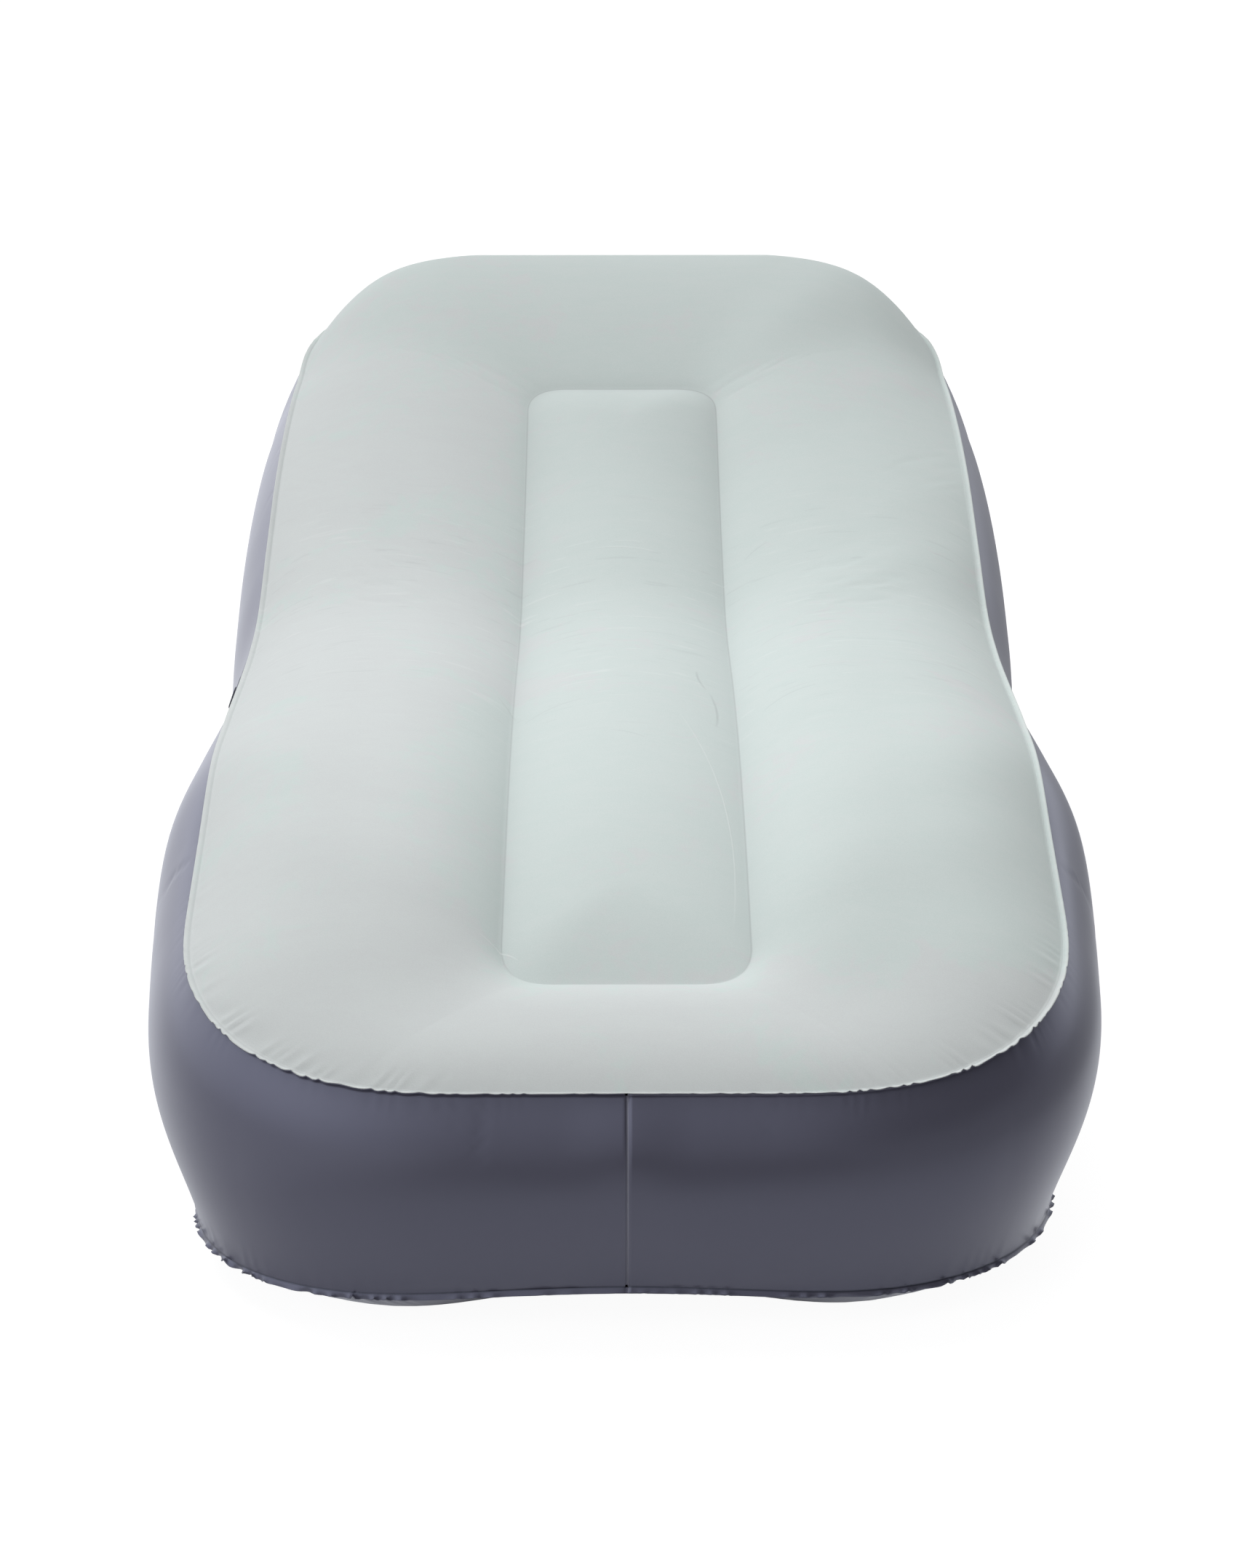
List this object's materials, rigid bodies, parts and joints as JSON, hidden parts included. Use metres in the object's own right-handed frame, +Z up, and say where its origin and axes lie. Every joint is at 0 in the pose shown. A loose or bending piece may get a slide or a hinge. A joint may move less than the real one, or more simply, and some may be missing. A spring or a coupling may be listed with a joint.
{
  "type": "inflatable lounger",
  "caption": "Inflatable chaise lounger of welded sheets with a raised back, a sunken middle panel and a hinged air valve in its side wall.",
  "frame": {"origin": "on the floor, under the middle of the lounger's outline", "axes": "+Y from the foot end to the head end, +Z up, +X to the right of someone who looks from the foot end to the head end"},
  "size_m": [0.9436, 1.885, 0.7077],
  "materials": {
    "flocked_sheet": "pale grey flocked plastic sheet, matte",
    "smooth_sheet": "dark violet-grey smooth vinyl sheet, satin",
    "inner_sheet": "plain grey vinyl sheet, hidden inside",
    "valve_moulding": "near-black moulded vinyl, satin"
  },
  "bodies": {
    "bladder": {"top_sheet": "flocked_sheet", "bottom_sheet": "smooth_sheet", "side_wall_left": "smooth_sheet", "side_wall_right": "smooth_sheet", "inner_baffle_left": "inner_sheet", "inner_baffle_right": "inner_sheet", "valve_base": "valve_moulding"},
    "plug_body": {"dump_plug": "valve_moulding"},
    "cap_body": {"inflation_cap": "valve_moulding"},
    "flap_body": {"check_flap": "valve_moulding"}
  },
  "joints": [
    {"name": "dump_plug_hinge", "type": "hinge", "parent": "bladder", "child": "plug_body", "pos_m": [-0.44185, -0.04797, 0.31594], "axis": [0, -1, 0], "range_deg": [0, 120]},
    {"name": "inflation_cap_hinge", "type": "hinge", "parent": "plug_body", "child": "cap_body", "pos_m": [-0.43434, -0.03147, 0.34564], "axis": [-0.336, 0, -0.9419], "range_deg": [0, 150]},
    {"name": "check_flap_hinge", "type": "hinge", "parent": "plug_body", "child": "flap_body", "pos_m": [-0.42515, -0.04797, 0.33047], "axis": [0, 1, 0], "range_deg": [0, 60], "stiffness_Nm_per_rad": 0.0005, "springref_deg": -17.19}
  ]
}
